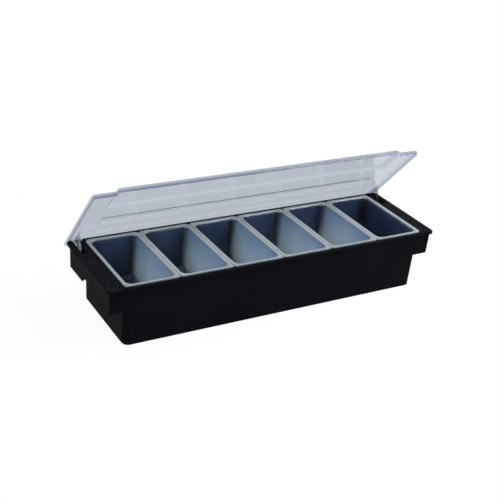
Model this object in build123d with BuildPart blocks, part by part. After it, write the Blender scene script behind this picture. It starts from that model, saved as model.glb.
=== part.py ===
from build123d import *
from math import acos, atan2, cos, hypot, radians, sin
import os

# A bar garnish tray: a black tub with grip ends, six lift-out inserts and a clear hinged lid.
# X runs along the tray, -Y is the front and +Z is up. The origin is the centre of the underside.
# The lid stands part open, as it does between fillings.

# Tray, overall
tray_length = 500.0
tray_depth = 145.0
tray_height = 85.5
wall = 2.4
floor_thick = 2.6
tray_draft = 1.1
tub_corner_r = 9.0
tub_bottom_edge = 1.2
tub_inner_bottom_edge = 2.0

# Tray, flange round the top, which reaches in over the tub's rear as a ledge for the inserts
flange_thick = 4.0
flange_corner_r = 6.0
flange_edge = 1.0
flange_overhang = 3.4
rear_ledge = 4.8

# Tray, skirt that hangs from the flange and makes a grip, open below, at each end
skirt_drop = 35.3
skirt_corner_r = 3.0
grip_reach = 19.7

# Tray, overlapping arches for the fingers in the lower edge of each grip
arch_count = 4
arch_pitch = 22.8
arch_r = 16.4
arch_height = 7.9
arch_middle_y = -24.6
arch_front_inset = 7.0

# Inserts
insert_count = 6
insert_gap = 0.6
insert_depth = 66.0
insert_wall = 1.3
insert_draft = 1.8
insert_bottom_edge = 4.0
rim_overlap = 2.6
rim_width = 5.2
rim_thick = 1.5
rim_corner_r = 6.0
mouth_corner_r = 8.0
mouth_edge = 1.3

# Hinge
hinge_inset = 11.5
hinge_drop = 17.8
hinge_open = 49.3
hinge_stop = 105.0
pin_r = 2.5
pin_length = 6.0
pin_tip_chamfer = 0.6
pin_clearance = 0.08

# Lid lugs, and the slots that they pass through
lug_thick = 3.8
lug_end_inset = 9.0
lug_boss_r = 5.5
lug_toe_r = 2.0
lug_toe_reach = 17.0
lug_root_front = 30.0
lug_root_rear = 10.5
slot_clearance = 1.7
slot_front_clearance = 0.6
stop_clearance = 0.15

# Brackets under the deck that hold the lid's pins
bracket_thick = 3.0
bracket_gap = 1.9
bracket_bore_wall = 2.9
bracket_rise = 2.4
bracket_top_r = 2.0
brace_thick = 2.2
relief_width = 3.0
relief_gap = 1.3
relief_drop = 9.5
relief_reach = 10.5

# Lid
lid_end_inset = 2.3
lid_front_overhang = 2.8
lid_rear_overhang = 2.5
lid_thick = 2.2
lid_corner_r = 5.0
lid_edge = 0.6
lid_lip_thick = 2.2
lid_seat_gap = 3.5
lid_rest_clearance = 0.2
lid_swing_clearance = 0.35
lid_lip_start = 6.0
panel_slope = 45.0
front_panel_inset = 31.2
front_panel_depth = 46.5
front_panel_raise = 3.7
rear_panel_inset = 34.0
rear_panel_start = 21.0
rear_panel_depth = 50.0
rear_panel_raise = 1.8

# How far a cut runs past the faces that it opens
overrun = 5.0

# Places on the tray
rear_y = tray_depth / 2
deck_under = tray_height - flange_thick
skirt_length = tray_length - 2 * flange_overhang
skirt_depth = tray_depth - 2 * flange_overhang
skirt_rear = skirt_depth / 2
skirt_bottom = tray_height - skirt_drop
tub_length = skirt_length - 2 * grip_reach
tub_end = tub_length / 2
mouth_length = tub_length - 2 * wall
mouth_depth = skirt_depth - 2 * wall - rear_ledge
mouth_middle = -rear_ledge / 2
top_plane = Plane.XY.offset(tray_height)

# Places on the hinge and the lid, heights being taken from the hinge axis square to the lid
hinge_y = rear_y - hinge_inset
hinge_z = tray_height - hinge_drop
sheet_under = hinge_drop + lid_seat_gap
sheet_top = sheet_under + lid_thick
lip_bottom = hinge_drop + lid_rest_clearance
lid_length = tray_length - 2 * lid_end_inset
lid_depth = tray_depth + lid_front_overhang + lid_rear_overhang
lid_rear = hinge_inset + lid_rear_overhang
lid_front = lid_rear - lid_depth
lid_middle = (lid_front + lid_rear) / 2
lug_inner = lid_length / 2 - lug_end_inset - lug_thick / 2
lug_outer = lug_inner + lug_thick
flange_corner_reach = max(
    hypot(hinge_inset - flange_edge, hinge_drop), hypot(hinge_inset, hinge_drop - flange_edge)
)
lid_frame = Plane(
    origin=(0, hinge_y, hinge_z),
    x_dir=(1, 0, 0),
    z_dir=(0, sin(radians(hinge_open)), cos(radians(hinge_open))),
)


def lid_side(x):
    """The plane square to the hinge axis at x, drawn as (towards the lid's rear, out of the lid)."""
    return Plane(lid_frame.from_local_coords((x, 0, 0)), x_dir=lid_frame.y_dir, z_dir=(1, 0, 0))


def lug_front_at(height):
    """Where the closed lug's front edge stands, at a height over the hinge axis."""
    toe = lug_toe_reach + lug_toe_r
    share = (height - lug_toe_r) / (sheet_under - lug_toe_r)
    return -(toe + (lug_root_front - toe) * share)


def lug_low_side_at(reach):
    """How low the lug's rear edge hangs at the open stop, at a reach behind the hinge axis."""
    root = hypot(lug_root_rear, sheet_under)
    root_angle = atan2(sheet_under, lug_root_rear)
    tangent_angle = root_angle - acos(lug_boss_r / root)
    turn = radians(hinge_stop)
    near = (lug_boss_r * cos(tangent_angle - turn), lug_boss_r * sin(tangent_angle - turn))
    far = (root * cos(root_angle - turn), root * sin(root_angle - turn))
    return near[1] + (reach - near[0]) * (far[1] - near[1]) / (far[0] - near[0])


slot_front = hinge_y + lug_front_at(hinge_drop) - slot_front_clearance
slot_floor = hinge_z + lug_low_side_at(skirt_rear - hinge_y) - stop_clearance
slot_middle = (lug_inner + lug_outer) / 2
slot_width = lug_thick + 2 * slot_clearance
bracket_outer = lug_inner - bracket_gap
bracket_inner = bracket_outer - bracket_thick
bracket_half = pin_r + pin_clearance + bracket_bore_wall
brace_inner = tub_end - wall / 2
relief_middle = bracket_inner - relief_gap - relief_width / 2


def drafted_block(place, length, depth, drop, taper, corner_r, bottom_edge=0):
    """A block that narrows downwards, its upright edges rounded and its top centred at a place."""
    top_face = Plane(origin=place)
    with BuildPart() as block:
        with BuildSketch(top_face):
            Rectangle(length, depth)
        extrude(amount=-drop)
        draft(block.faces().filter_by(Axis.Z, reverse=True), top_face, -taper)
        fillet(block.edges().group_by(Axis.Z)[1], corner_r)
        if bottom_edge:
            chamfer(block.faces().sort_by(Axis.Z)[0].edges(), bottom_edge)
    return block.part


# Blocks that make the tray, all hung from the middle of its top
tray_top = (0, 0, tray_height)
skirt = drafted_block(tray_top, skirt_length, skirt_depth, skirt_drop, tray_draft, skirt_corner_r)
skirt_hollow = drafted_block(
    tray_top,
    skirt_length - 2 * wall,
    skirt_depth - 2 * wall,
    skirt_drop,
    tray_draft,
    skirt_corner_r - wall,
)
tub = drafted_block(
    tray_top, tub_length, skirt_depth, tray_height, tray_draft, tub_corner_r, tub_bottom_edge
)
tub_hollow = drafted_block(
    tray_top,
    mouth_length,
    skirt_depth - 2 * wall,
    tray_height - floor_thick,
    tray_draft,
    tub_corner_r - wall,
    tub_inner_bottom_edge,
)
ledge_front = skirt_rear - wall - rear_ledge

# Base tray: one moulding, a deep tub inside a shallower skirt, both hung from the flange
with BuildPart() as base_tray:
    add(skirt)
    add(skirt_hollow, mode=Mode.SUBTRACT)

    # Arches for the fingers, cut in both grips at once, the foremost one short of the front wall
    with BuildSketch(Plane.YZ.offset(-tray_length / 2)):
        with Locations((arch_middle_y, skirt_bottom + arch_height - arch_r)):
            with GridLocations(arch_pitch, 0, arch_count, 1):
                Circle(arch_r)
        with Locations((arch_front_inset - rear_y, skirt_bottom)):
            Rectangle(tray_depth, 2 * arch_height, align=(Align.MIN, Align.CENTER), mode=Mode.INTERSECT)
    extrude(amount=tray_length, mode=Mode.SUBTRACT)

    with BuildSketch(top_plane):
        RectangleRounded(tray_length, tray_depth, flange_corner_r)
    extrude(amount=-flange_thick)
    chamfer(base_tray.faces().sort_by(Axis.Z)[-1].outer_wire().edges(), flange_edge)

    # The tub is cut out up through the flange, which then gets its rear ledge back
    add(tub)
    add(tub_hollow, mode=Mode.SUBTRACT)
    with BuildSketch(top_plane):
        with Locations((0, ledge_front)):
            Rectangle(mouth_length + wall, rear_ledge + wall / 2, align=(Align.CENTER, Align.MIN))
    extrude(amount=-flange_thick)

    # The slots that the lid's lugs pass through run out at the rear edge, down to the lid's stop
    with BuildSketch(top_plane):
        with Locations((slot_middle, slot_front), (-slot_middle, slot_front)):
            Rectangle(slot_width, rear_y + overrun - slot_front, align=(Align.CENTER, Align.MIN))
    extrude(amount=slot_floor - tray_height, mode=Mode.SUBTRACT)
    with BuildSketch(top_plane):
        with Locations((relief_middle, rear_y), (-relief_middle, rear_y)):
            Rectangle(relief_width, 2 * relief_reach)
    extrude(amount=-relief_drop, mode=Mode.SUBTRACT)

    # A bracket beside each slot holds the lid's pin, its round top standing above the deck
    for side in (-1, 1):
        with BuildSketch(Plane.YZ.offset(side * bracket_inner)) as bracket_side:
            with Locations((hinge_y - bracket_half, hinge_z)):
                Rectangle(
                    skirt_rear - hinge_y + bracket_half,
                    hinge_drop + bracket_rise,
                    align=(Align.MIN, Align.MIN),
                )
            fillet(bracket_side.vertices().group_by(Axis.Y)[-1], bracket_top_r)
            with Locations((hinge_y, hinge_z)):
                Circle(bracket_half)
        extrude(amount=side * bracket_thick)
        with BuildSketch(Plane.XY.offset(hinge_z)):
            with Locations((side * (brace_inner + bracket_inner) / 2, hinge_y - bracket_half)):
                Rectangle(bracket_inner - brace_inner, brace_thick, align=(Align.CENTER, Align.MIN))
        extrude(amount=deck_under - hinge_z)
        with BuildSketch(Plane.YZ.offset(side * bracket_inner)):
            with Locations((hinge_y, hinge_z)):
                Circle(pin_r + pin_clearance)
        extrude(amount=side * bracket_thick, mode=Mode.SUBTRACT)

base_tray.part.label = "base_tray"

# Inserts: six alike, hung by their rims on the flange round the mouth of the tub
rim_length = (mouth_length + 2 * rim_overlap - (insert_count - 1) * insert_gap) / insert_count
rim_depth = mouth_depth + 2 * rim_overlap
rim_top = tray_height + rim_thick
insert_pitch = rim_length + insert_gap
hollow_length = rim_length - 2 * rim_width
hollow_depth = rim_depth - 2 * rim_width


def insert_at(x):
    """One insert, its rim centred at x."""
    body = drafted_block(
        (x, mouth_middle, tray_height),
        hollow_length + 2 * insert_wall,
        hollow_depth + 2 * insert_wall,
        insert_depth - rim_thick,
        insert_draft,
        mouth_corner_r + insert_wall,
        insert_bottom_edge,
    )
    hollow = drafted_block(
        (x, mouth_middle, rim_top),
        hollow_length,
        hollow_depth,
        insert_depth - insert_wall,
        insert_draft,
        mouth_corner_r,
        insert_bottom_edge,
    )
    with BuildPart() as insert:
        with BuildSketch(top_plane):
            with Locations((x, mouth_middle)):
                RectangleRounded(rim_length, rim_depth, rim_corner_r)
        extrude(amount=rim_thick)
        add(body)
        add(hollow, mode=Mode.SUBTRACT)
        chamfer(insert.faces().sort_by(Axis.Z)[-1].inner_wires()[0].edges(), mouth_edge)
    return insert.part


inserts = [insert_at((index - (insert_count - 1) / 2) * insert_pitch) for index in range(insert_count)]

# Lid: one clear moulding, a sheet with a turned-down lip, two raised panels, lugs and pins
panel_wall_step = lid_thick * (1 - sin(radians(panel_slope))) / cos(radians(panel_slope))
front_panel_length = lid_length - 2 * front_panel_inset


def panel_block(height, middle, length, depth, rise):
    """A block with sloped sides that stands on the lid at a height, its base centred at middle."""
    with BuildPart() as block:
        with BuildSketch(lid_frame.offset(height)):
            with Locations((0, middle)):
                Rectangle(length, depth)
        extrude(amount=rise, taper=panel_slope)
    return block.part


def front_block(height, edge, step):
    """The front panel's block, square at its front edge and drawn in by a step on its other sides."""
    rear = lid_front + front_panel_depth - step
    front = lid_front - front_panel_raise
    length = front_panel_length - 2 * step
    block = panel_block(height, (rear + front) / 2, length, rear - front, front_panel_raise)
    edge_plane = Plane(
        lid_frame.from_local_coords((0, edge, 0)), x_dir=-lid_frame.x_dir, z_dir=lid_frame.y_dir
    )
    return split(block, bisect_by=edge_plane, keep=Keep.TOP)


def rear_block(height, step):
    """The rear panel's block, drawn in by a step on all its sides."""
    middle = lid_rear - rear_panel_start - rear_panel_depth / 2
    length = lid_length - 2 * rear_panel_inset - 2 * step
    return panel_block(height, middle, length, rear_panel_depth - 2 * step, rear_panel_raise)


lid_out = Axis(lid_frame.origin, lid_frame.z_dir)
front_panel = front_block(sheet_top, lid_front, 0)
front_hollow = front_block(sheet_under, lid_front + lid_lip_thick, panel_wall_step)
rear_panel = rear_block(sheet_top, 0)
rear_hollow = rear_block(sheet_under, panel_wall_step)

with BuildPart() as lid:
    with BuildSketch(lid_frame.offset(lip_bottom)):
        with Locations((0, lid_middle)):
            RectangleRounded(lid_length, lid_depth, lid_corner_r)
    extrude(amount=sheet_top - lip_bottom)
    chamfer(lid.faces().sort_by(lid_out)[-1].outer_wire().edges(), lid_edge)

    # Below the sheet the lip runs along the ends and the free edge, and stays clear of the hinge
    with BuildSketch(lid_frame.offset(lip_bottom)):
        with Locations((0, lid_front + lid_lip_thick)):
            RectangleRounded(
                lid_length - 2 * lid_lip_thick,
                2 * lid_depth,
                lid_corner_r - lid_lip_thick,
                align=(Align.CENTER, Align.MIN),
            )
    extrude(amount=sheet_under - lip_bottom, mode=Mode.SUBTRACT)
    with BuildSketch(lid_side(-lid_length / 2)):
        Circle(flange_corner_reach + lid_swing_clearance)
        with Locations((-lid_lip_start, 0)):
            Rectangle(lid_depth, sheet_under, align=(Align.MIN, Align.MIN))
    extrude(amount=lid_length, mode=Mode.SUBTRACT)

    # The front panel runs out at the free edge, and the lip there steps up with it for the fingers
    add(front_panel)
    add(front_hollow, mode=Mode.SUBTRACT)
    lip_plane = Plane(
        lid_frame.from_local_coords((0, lid_front + lid_lip_thick, 0)),
        x_dir=lid_frame.x_dir,
        z_dir=-lid_frame.y_dir,
    )
    with BuildSketch(lip_plane):
        with BuildLine():
            Polyline(
                (-front_panel_length / 2, lip_bottom),
                (front_panel_length / 2, lip_bottom),
                (front_panel_length / 2 - front_panel_raise, lip_bottom + front_panel_raise),
                (-front_panel_length / 2 + front_panel_raise, lip_bottom + front_panel_raise),
                close=True,
            )
        make_face()
    extrude(amount=lid_lip_thick, mode=Mode.SUBTRACT)

    add(rear_panel)
    add(rear_hollow, mode=Mode.SUBTRACT)

    # A lug at each end carries a pin that points inwards
    for side in (-1, 1):
        with BuildSketch(lid_side(side * lug_inner)):
            with BuildLine():
                Polyline((-lug_root_front, sheet_under), (lug_root_rear, sheet_under))
                CenterArc((0, 0), lug_boss_r, 0, 360)
                CenterArc((-lug_toe_reach, lug_toe_r), lug_toe_r, 0, 360)
            make_hull()
        extrude(amount=side * lug_thick)
        with BuildSketch(lid_side(side * lug_inner)):
            Circle(pin_r)
        extrude(amount=-side * pin_length)
        pin_tip = lid.faces(Select.LAST).sort_by(Axis.X)[0 if side > 0 else -1]
        chamfer(pin_tip.edges(), pin_tip_chamfer)
lid.part.label = "lid"

os.makedirs("parts", exist_ok=True)
export_step(base_tray.part, "parts/base_tray.step")
export_step(lid.part, "parts/lid.step")
for index, insert in enumerate(inserts, start=1):
    insert.label = f"insert_{index}"
    export_step(insert, f"parts/{insert.label}.step")
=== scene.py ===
import math

import bpy
from mathutils import Matrix, Vector


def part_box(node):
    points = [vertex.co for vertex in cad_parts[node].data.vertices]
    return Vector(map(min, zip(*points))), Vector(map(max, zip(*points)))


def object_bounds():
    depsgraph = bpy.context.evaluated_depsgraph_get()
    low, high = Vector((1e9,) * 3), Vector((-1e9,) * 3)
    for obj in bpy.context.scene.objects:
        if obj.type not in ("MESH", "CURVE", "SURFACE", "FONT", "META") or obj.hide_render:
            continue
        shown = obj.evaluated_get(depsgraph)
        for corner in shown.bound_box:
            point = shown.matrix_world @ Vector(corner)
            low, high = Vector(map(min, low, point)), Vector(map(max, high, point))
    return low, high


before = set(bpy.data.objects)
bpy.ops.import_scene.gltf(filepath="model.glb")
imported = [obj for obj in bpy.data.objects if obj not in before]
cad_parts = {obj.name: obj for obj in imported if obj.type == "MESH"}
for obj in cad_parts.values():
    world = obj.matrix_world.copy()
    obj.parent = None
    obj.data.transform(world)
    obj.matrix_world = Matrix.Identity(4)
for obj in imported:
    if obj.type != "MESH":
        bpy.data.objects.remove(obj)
cad_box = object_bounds()

# The base tray: the long black tub that holds the ice, with its flange, its end grips, and the
# slots and bored brackets of the lid's hinge. It is one injection moulding in black high-impact
# polystyrene, satin on the walls, with a fine spark-eroded grain on the flange whose peaks carry
# painted glints in light grey.

# A millimetre, in a scene that is in metres
MM = 0.001


def new_finish(name):
    """A material and its Principled shader."""
    finish = bpy.data.materials.new(name)
    finish.use_nodes = True
    return finish, finish.node_tree.nodes["Principled BSDF"]


def add(finish, kind, **values):
    """A shader node, with its named inputs and settings filled in."""
    node = finish.node_tree.nodes.new("ShaderNode" + kind)
    for key, value in values.items():
        if key in node.inputs:
            node.inputs[key].default_value = value
        else:
            setattr(node, key, value)
    return node


def join(finish, source, target):
    """A link from one socket to another."""
    finish.node_tree.links.new(source, target)


def axes_of(finish, kind):
    """X, Y and Z of the place on the piece (Object), or of the way its face points (Normal)."""
    coordinates = add(finish, "TexCoord")
    axes = add(finish, "SeparateXYZ")
    join(finish, coordinates.outputs[kind], axes.inputs["Vector"])
    return axes.outputs


def noise(finish, size, detail=2.0, rough=0.5, scale=(1, 1, 1)):
    """Soft noise in blotches about as wide as size, drawn out along an axis scaled under 1."""
    coordinates = add(finish, "TexCoord")
    drawn_out = add(finish, "Mapping", Scale=scale)
    join(finish, coordinates.outputs["Object"], drawn_out.inputs["Vector"])
    cloud = add(finish, "TexNoise", Scale=1 / size, Detail=detail, Roughness=rough)
    join(finish, drawn_out.outputs["Vector"], cloud.inputs["Vector"])
    return cloud.outputs["Fac"]


def spread_to(finish, value, span=(0, 1), onto=(0, 1)):
    """A value stretched from one span onto another, and held at its ends."""
    stretch = add(finish, "MapRange", clamp=True)
    join(finish, value, stretch.inputs["Value"])
    for name, number in zip(("From Min", "From Max", "To Min", "To Max"), (*span, *onto)):
        stretch.inputs[name].default_value = number
    return stretch.outputs["Result"]


def math_of(finish, operation, *values):
    """One or two values, sockets or numbers, put through one operation."""
    node = add(finish, "Math", operation=operation)
    for socket, value in zip(node.inputs, values):
        if isinstance(value, (int, float)):
            socket.default_value = value
        else:
            join(finish, value, socket)
    return node.outputs["Value"]


def mix_colour(finish, share, first, second):
    """One colour, a socket or red, green and blue, going over to another by a share."""
    blend = add(finish, "Mix", data_type="RGBA")
    join(finish, share, blend.inputs["Factor"])
    sockets = [socket for socket in blend.inputs if socket.type == "RGBA"]
    for socket, value in zip(sockets, (first, second)):
        if isinstance(value, tuple):
            socket.default_value = (*value, 1)
        else:
            join(finish, value, socket)
    return next(socket for socket in blend.outputs if socket.type == "RGBA")


def bump(finish, height, depth, strength, under=None):
    """A bump of that depth, over another bump where one is given."""
    relief = add(finish, "Bump", Strength=strength, Distance=depth)
    join(finish, height, relief.inputs["Height"])
    if under is not None:
        join(finish, under, relief.inputs["Normal"])
    return relief.outputs["Normal"]


def wear(node, material):
    """Every slot of a carried-over solid takes the material."""
    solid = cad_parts[node]
    if not solid.data.materials:
        solid.data.materials.append(material)
    for slot in solid.material_slots:
        slot.material = material


black_plastic, tray_shader = new_finish("black_plastic")
mid_noise = (0.3, 0.7)

# The top of the flange is whatever faces up, or half up, at its height
facing_up = (0.5, 0.65)
flange_top_height = (84.5 * MM, 85.0 * MM)
flange_top = math_of(
    black_plastic,
    "MULTIPLY",
    spread_to(black_plastic, axes_of(black_plastic, "Normal")["Z"], facing_up),
    spread_to(black_plastic, axes_of(black_plastic, "Object")["Z"], flange_top_height),
)

# The walls are satin, in patches drawn out along the tray as the plastic flowed, the grain duller
grain_size = 1.6 * MM
flow_size = 35 * MM
along_tray = (0.4, 1, 1)
wall_roughness = (0.30, 0.38)
grain_roughness = 0.25
grain = noise(black_plastic, grain_size, detail=3.0, rough=0.6)
flow = noise(black_plastic, flow_size, detail=3.0, scale=along_tray)
stipple = math_of(black_plastic, "MULTIPLY", grain, flange_top)
tray_roughness = math_of(
    black_plastic,
    "ADD",
    spread_to(black_plastic, flow, mid_noise, wall_roughness),
    math_of(black_plastic, "MULTIPLY", stipple, grain_roughness),
)
join(black_plastic, tray_roughness, tray_shader.inputs["Roughness"])

# The black varies with the same patches, and the peaks of the grain on the flange top carry
# painted glints in light grey
black_dark = (0.0052, 0.0048, 0.0068)
black_light = (0.0070, 0.0064, 0.0090)
glint_grey = (0.07, 0.068, 0.08)
grain_peaks = (0.52, 0.72)
glint_share = 0.4
tone = mix_colour(
    black_plastic, spread_to(black_plastic, flow, mid_noise), black_dark, black_light
)
painted_glints = math_of(
    black_plastic, "MULTIPLY", spread_to(black_plastic, grain, grain_peaks), flange_top
)
painted_glints = math_of(black_plastic, "MULTIPLY", painted_glints, glint_share)
tone = mix_colour(black_plastic, painted_glints, tone, glint_grey)
join(black_plastic, tone, tray_shader.inputs["Base Color"])

# The mould's skin ripples faintly everywhere, and the grain stands up from it
skin_size = 4 * MM
skin_depth, skin_strength = 0.05 * MM, 0.3
grain_depth, grain_strength = 0.25 * MM, 0.9
skin = noise(black_plastic, skin_size)
relief = bump(black_plastic, skin, skin_depth, skin_strength)
relief = bump(black_plastic, stipple, grain_depth, grain_strength, under=relief)
join(black_plastic, relief, tray_shader.inputs["Normal"])
tray_shader.inputs["Specular IOR Level"].default_value = 0.004
wear("base_tray", black_plastic)

# The six inserts: the cups that the garnishes lie in, hung side by side by their flat rims. Each
# is a thin injection moulding in natural polypropylene, milky and bluish: light comes through the
# walls between neighbours, the rest shows the black tub behind it, and the rims look pale grey.


def mix_surfaces(finish, share, first, second):
    """The finish's surface, going over from one shader to another by a share."""
    blend = add(finish, "MixShader")
    for socket, value in zip(blend.inputs, (share, first, second)):
        join(finish, value, socket)
    output = finish.node_tree.nodes["Material Output"]
    join(finish, blend.outputs["Shader"], output.inputs["Surface"])


milky_plastic, insert_shader = new_finish("translucent_plastic")
insert_place = axes_of(milky_plastic, "Object")
rim_height = (84.8 * MM, 85.6 * MM)
rim = spread_to(milky_plastic, insert_place["Z"], rim_height)

# How far a point lies in from its insert's sides and from its front or rear, by the rims' outline
insert_count = 6
first_low, first_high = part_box("insert_1")
last_low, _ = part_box(f"insert_{insert_count}")
pitch = (last_low[0] - first_low[0]) / (insert_count - 1)
gap = pitch - (first_high[0] - first_low[0])
rim_middle = (first_low[1] + first_high[1]) / 2
rim_half_depth = (first_high[1] - first_low[1]) / 2
from_side = math_of(milky_plastic, "PINGPONG", insert_place["X"], pitch / 2)
from_side = math_of(milky_plastic, "SUBTRACT", from_side, gap / 2)
from_middle = math_of(milky_plastic, "SUBTRACT", insert_place["Y"], rim_middle)
from_middle = math_of(milky_plastic, "ABSOLUTE", from_middle)
from_end = math_of(milky_plastic, "SUBTRACT", rim_half_depth, from_middle)

# The walls are a deep, hazy blue, with painted shade darkening the upright corners
haze_size, speckle_size = 18 * MM, 1.2 * MM
down_walls = (1, 1, 0.35)
wall_dark, wall_light = (0.09, 0.17, 0.46), (0.12, 0.21, 0.52)
corner_shade = (0.015, 0.025, 0.06)
corner_reach = (11 * MM, 19 * MM)
haze = noise(milky_plastic, haze_size, scale=down_walls)
wall = mix_colour(milky_plastic, haze, wall_dark, wall_light)
from_corner = math_of(milky_plastic, "MAXIMUM", from_side, from_end)
corner = spread_to(milky_plastic, from_corner, corner_reach, onto=(1, 0))
wall = mix_colour(milky_plastic, corner, wall, corner_shade)

# The rims are pale and finely speckled, with low ridges that run all the way round, each one
# painted light grey as a highlight
rim_dark, rim_light = (0.10, 0.125, 0.14), (0.14, 0.17, 0.185)
ridge_highlight_grey = (0.60, 0.66, 0.68)
ridge_pitch = 2.6 * MM
speckle = noise(milky_plastic, speckle_size)
pale = mix_colour(milky_plastic, speckle, rim_dark, rim_light)
inwards = math_of(milky_plastic, "MINIMUM", from_side, from_end)
ridges_and_highlights = math_of(milky_plastic, "MULTIPLY", inwards, 2 * math.pi / ridge_pitch)
ridges_and_highlights = math_of(milky_plastic, "COSINE", ridges_and_highlights)
ridges_and_highlights = spread_to(milky_plastic, ridges_and_highlights, (1, -1))
ridges_and_highlights = math_of(milky_plastic, "MULTIPLY", ridges_and_highlights, rim)
pale = mix_colour(milky_plastic, ridges_and_highlights, pale, ridge_highlight_grey)
insert_colour = mix_colour(milky_plastic, rim, wall, pale)
join(milky_plastic, insert_colour, insert_shader.inputs["Base Color"])

# Their skin is satin under a glossy face, which is duller on the rims
insert_roughness = (0.36, 0.46)
wall_to_rim_gloss = (1, 0.3)
haze_depth, haze_strength = 0.15 * MM, 0.3
ridge_depth, ridge_strength = 0.1 * MM, 0.4
satin = spread_to(milky_plastic, haze, mid_noise, insert_roughness)
join(milky_plastic, satin, insert_shader.inputs["Roughness"])
gloss = spread_to(milky_plastic, rim, onto=wall_to_rim_gloss)
join(milky_plastic, gloss, insert_shader.inputs["Coat Weight"])
ripple = bump(milky_plastic, haze, haze_depth, haze_strength)
ripple = bump(milky_plastic, ridges_and_highlights, ridge_depth, ridge_strength, under=ripple)
join(milky_plastic, ripple, insert_shader.inputs["Normal"])
join(milky_plastic, ripple, insert_shader.inputs["Coat Normal"])
insert_shader.inputs["IOR"].default_value = 1.49
insert_shader.inputs["Coat IOR"].default_value = 2.6
insert_shader.inputs["Coat Roughness"].default_value = 0.10

# The light that comes through is painted as a glow, palest low down and in paler clouds, where
# the draft leaves most room between walls
wall_height = (35 * MM, 80 * MM)
glow_cloud_span, glow_cloud_lift = (0.35, 0.65), (0, 0.3)
painted_glow_low, painted_glow_high = (0.85, 0.895, 0.905), (0.68, 0.76, 0.835)
wall_to_rim_passing = (0.85, 0.3)
glow_fade = spread_to(milky_plastic, insert_place["Z"], wall_height)
glow_clouds = spread_to(milky_plastic, haze, glow_cloud_span, glow_cloud_lift)
glow_fade = math_of(milky_plastic, "SUBTRACT", glow_fade, glow_clouds)
through = add(milky_plastic, "BsdfTranslucent")
painted_glow = mix_colour(milky_plastic, glow_fade, painted_glow_low, painted_glow_high)
join(milky_plastic, painted_glow, through.inputs["Color"])

passing = spread_to(milky_plastic, rim, onto=wall_to_rim_passing)
mix_surfaces(milky_plastic, passing, insert_shader.outputs["BSDF"], through.outputs["BSDF"])
for number in range(1, insert_count + 1):
    wear(f"insert_{number}", milky_plastic)

# The lid: a clear hinged cover, with a turned-down lip on its ends and free edge and two raised
# panels. It is one injection moulding in clear styrene-acrylonitrile, faintly blue, finely
# scratched by wiping, and turns on a pin that each of its two end lugs carries.

clear_plastic, lid_shader = new_finish("clear_plastic")
lid_coordinates = add(clear_plastic, "TexCoord")

# How flat a face lies in the lid: 1 on its sheet, less on its steps, and 0 on its lip and lugs
lid_open = math.radians(49.3)
outwards = add(clear_plastic, "VectorMath", operation="DOT_PRODUCT")
outwards.inputs[1].default_value = (0, math.sin(lid_open), math.cos(lid_open))
join(clear_plastic, lid_coordinates.outputs["Normal"], outwards.inputs[0])
flat = math_of(clear_plastic, "ABSOLUTE", outwards.outputs["Value"])

# Wiping scratches run along the lid, and the steps and edges are less polished
scratch_size = 2.5 * MM
along_lid = (0.12, 1, 1)
scratch_span, scratch_roughness = (0.45, 0.75), (0.03, 0.11)
edge_span, edge_roughness = (0.75, 0.95), (0.3, 0)
scratches = noise(clear_plastic, scratch_size, detail=3.0, rough=0.6, scale=along_lid)
shine = spread_to(clear_plastic, scratches, scratch_span, scratch_roughness)
edges = spread_to(clear_plastic, flat, edge_span, edge_roughness)
join(clear_plastic, math_of(clear_plastic, "ADD", shine, edges), lid_shader.inputs["Roughness"])

# The tint deepens where light goes through more plastic: on the lugs, the steps and the lip. On
# the steps and the lip it is partly painted shade, for the dark lines that refraction draws there
wave_size = 45 * MM
tint_dark, tint_light = (0.54, 0.58, 0.65), (0.56, 0.60, 0.67)
lug_tint, step_tint_and_shade = (0.40, 0.43, 0.48), (0.34, 0.34, 0.45)
lug_top = (84 * MM, 92 * MM)
step_span, step_share = (0.2, 0.85), (0.6, 0)
waves = noise(clear_plastic, wave_size, detail=1.0)
tint = mix_colour(clear_plastic, waves, tint_dark, tint_light)
lug = spread_to(clear_plastic, axes_of(clear_plastic, "Object")["Z"], lug_top, onto=(1, 0))
tint = mix_colour(clear_plastic, lug, tint, lug_tint)
step = spread_to(clear_plastic, flat, step_span, step_share)
tint = mix_colour(clear_plastic, step, tint, step_tint_and_shade)
join(clear_plastic, tint, lid_shader.inputs["Base Color"])

# The sheet waves a little, as large thin mouldings do
wave_depth, wave_strength = 0.6 * MM, 0.15
wavy = bump(clear_plastic, waves, wave_depth, wave_strength)
join(clear_plastic, wavy, lid_shader.inputs["Normal"])
lid_shader.inputs["Transmission Weight"].default_value = 1.0
lid_shader.inputs["IOR"].default_value = 1.04
lid_shader.inputs["Coat Weight"].default_value = 0.5
lid_shader.inputs["Coat Roughness"].default_value = 0.05
wear("lid", clear_plastic)

# The table and the light: a white photographer's table in soft daylight. The table is matt and
# white, and the camera, shine and clear plastic see it as white, while it still darkens a little
# where the tray shades it. Three soft boxes light the tray, the strongest from the right.

low, _ = cad_box
table_half = 6.0
table_mesh = bpy.data.meshes.new("table_top")
quarters = ((-1, -1), (1, -1), (1, 1), (-1, 1))
corners = [(x * table_half, y * table_half, low[2]) for x, y in quarters]
table_mesh.from_pydata(corners, [], [(0, 1, 2, 3)])
table = bpy.data.objects.new("table_top", table_mesh)
bpy.context.scene.collection.objects.link(table)


def seen_directly(finish):
    """1 where the camera, a reflection or a see-through piece looks, and 0 for light itself."""
    ray = add(finish, "LightPath").outputs
    seen = math_of(finish, "MAXIMUM", ray["Is Camera Ray"], ray["Is Glossy Ray"])
    return math_of(finish, "MAXIMUM", seen, ray["Is Transmission Ray"])


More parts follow.
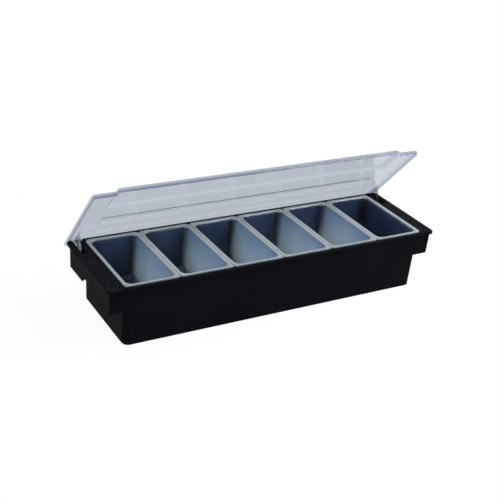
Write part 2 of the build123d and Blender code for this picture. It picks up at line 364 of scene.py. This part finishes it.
white = (1, 1, 1, 1)
white_table, table_shader = new_finish("white_table")
table_shader.inputs["Base Color"].default_value = (0.92, 0.92, 0.92, 1)
table_shader.inputs["Roughness"].default_value = 0.9
table_shader.inputs["Specular IOR Level"].default_value = 0.0
glow = add(white_table, "Emission", Color=white, Strength=1.0)
table_coordinates = add(white_table, "TexCoord")
distance = add(white_table, "VectorMath", operation="LENGTH")
join(white_table, table_coordinates.outputs["Object"], distance.inputs["Vector"])
shadow_to_white = (0.38, 0.75)
glow_span = (0.95, 1.0)
evenness = spread_to(white_table, distance.outputs["Value"], shadow_to_white, glow_span)
glow_share = math_of(white_table, "MULTIPLY", seen_directly(white_table), evenness)
mix_surfaces(white_table, glow_share, table_shader.outputs["BSDF"], glow.outputs["Emission"])
table.data.materials.append(white_table)

world = bpy.data.worlds.new("daylight")
bpy.context.scene.world = world
world.use_nodes = True
sky = world.node_tree.nodes["Background"]
sky.inputs["Color"].default_value = white
ambient_to_seen = (0.42, 1.0)
level = spread_to(world, seen_directly(world), onto=ambient_to_seen)
join(world, level, sky.inputs["Strength"])

# Each soft box: its name, place, width, height and power in watts
soft_boxes = (
    ("overhead_box", (-0.3, 0.1, 1.7), 1.4, 1.0, 5),
    ("left_box", (-1.7, -0.3, 0.9), 1.0, 0.8, 2),
    ("right_box", (1.1, -0.5, 1.3), 0.8, 0.8, 28),
)
lit_point = Vector((0, 0, 0.05))
for name, place, width, height, watts in soft_boxes:
    light = bpy.data.lights.new(name, "AREA")
    light.shape = "RECTANGLE"
    light.size = width
    light.size_y = height
    light.energy = watts
    lamp = bpy.data.objects.new(name, light)
    bpy.context.scene.collection.objects.link(lamp)
    lamp.location = place
    lamp.rotation_euler = (lit_point - Vector(place)).to_track_quat("-Z", "Y").to_euler()
    lamp.visible_camera = False
    lamp.visible_glossy = False

# The camera stands to the left of the tray's front, a little above it, as the photographer did,
# with a medium lens that is held slightly tilted.

lens = bpy.data.cameras.new("photo_lens")
lens.sensor_width = 36
lens.lens = 71.62
lens.clip_end = 50
camera = bpy.data.objects.new("photo_camera", lens)
bpy.context.scene.collection.objects.link(camera)
camera_place = (-0.65979, -1.03135, 0.67886)
azimuth = math.radians(32.14)
elevation = math.radians(26.72)
roll = math.radians(5.59)
camera.matrix_world = (
    Matrix.Translation(camera_place)
    @ Matrix.Rotation(-azimuth, 4, "Z")
    @ Matrix.Rotation(math.pi / 2 - elevation, 4, "X")
    @ Matrix.Rotation(roll, 4, "Z")
)
bpy.context.scene.camera = camera
bpy.context.scene.view_settings.view_transform = "Standard"
